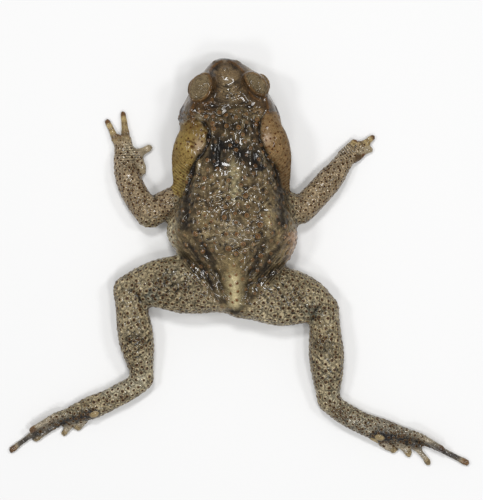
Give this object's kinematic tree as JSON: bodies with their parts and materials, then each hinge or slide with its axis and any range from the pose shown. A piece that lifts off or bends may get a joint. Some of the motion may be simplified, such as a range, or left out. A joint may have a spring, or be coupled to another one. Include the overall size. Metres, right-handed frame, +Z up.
{
  "type": "cane toad model",
  "caption": "Life-size still model of a cane toad lying flat on its belly, arms bent forward and out, hind legs drawn out behind, with big neck glands and warty skin.",
  "frame": {"origin": "middle of the whole outline on the floor plane, under the toad's back", "axes": "+Z up from the floor; -Y towards the snout; +X towards the toad's own left side, along the spread of its hind feet"},
  "size_m": [0.2173, 0.1924, 0.0298],
  "materials": {
    "skin": "moist warty skin, satin to glossy",
    "gland": "smooth pitted gland skin, satin",
    "eye": "wet, clear and glossy"
  },
  "bodies": {
    "root": {"head": "skin", "lower_jaw": "skin", "trunk": "skin", "upper_arm_left": "skin", "upper_arm_right": "skin", "forearm_left": "skin", "forearm_right": "skin", "hand_left": "skin", "hand_right": "skin", "thigh_left": "skin", "thigh_right": "skin", "shank_left": "skin", "shank_right": "skin", "tarsus_left": "skin", "tarsus_right": "skin", "foot_left": "skin", "foot_right": "skin", "parotoid_left": "gland", "parotoid_right": "gland", "eye_left": "eye", "eye_right": "eye"}
  },
  "joints": []
}
